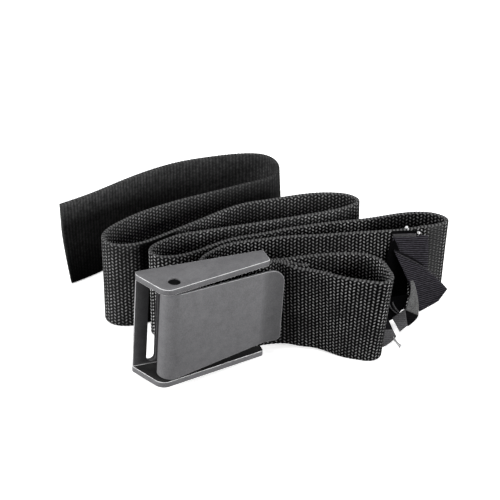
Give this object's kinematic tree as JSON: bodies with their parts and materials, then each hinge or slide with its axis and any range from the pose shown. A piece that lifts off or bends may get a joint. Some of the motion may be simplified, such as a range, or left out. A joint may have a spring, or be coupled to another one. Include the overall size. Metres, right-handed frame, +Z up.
{
  "type": "dive weight belt",
  "caption": "Folded webbing weight belt for diving, standing on edge, with a hinged cam buckle round one end and a ribbon pinned to a fold.",
  "frame": {"origin": "middle of the outline seen from above, at floor level", "axes": "+X to the right along the folded stack, +Y from the buckle towards the free end, +Z up across the webbing's width"},
  "size_m": [0.1997, 0.1488, 0.0607],
  "materials": {
    "webbing": "woven nylon",
    "buckle_plastic": "fine moulded grain",
    "pin_plastic": "smooth",
    "ribbon": "ribbed grosgrain",
    "tag_plastic": "clear"
  },
  "bodies": {
    "belt": {"buckle_frame": "buckle_plastic", "hinge_pin": "pin_plastic", "ribbon_flap": "ribbon", "ribbon_leg": "ribbon", "strap_bar_turn": "webbing", "strap_front_layer": "webbing", "strap_left_bend_1": "webbing", "strap_left_bend_2": "webbing", "strap_left_bend_3": "webbing", "strap_loop_bend": "webbing", "strap_right_bend_1": "webbing", "strap_right_bend_2": "webbing", "strap_right_bend_3": "webbing", "strap_run_1": "webbing", "strap_run_2": "webbing", "strap_run_3": "webbing", "strap_run_4": "webbing", "strap_run_5": "webbing", "strap_run_6": "webbing", "strap_run_7": "webbing", "strap_run_8": "webbing", "strap_tail": "webbing", "tag_pin": "tag_plastic"},
    "lever": {"cam_lever": "buckle_plastic"}
  },
  "joints": [
    {"name": "lever_hinge", "type": "hinge", "parent": "belt", "child": "lever", "pos_m": [-0.03904, -0.06537, 0.03157], "axis": [-0.0611, -0.0257, -0.9978], "range_deg": [0, 115]}
  ]
}
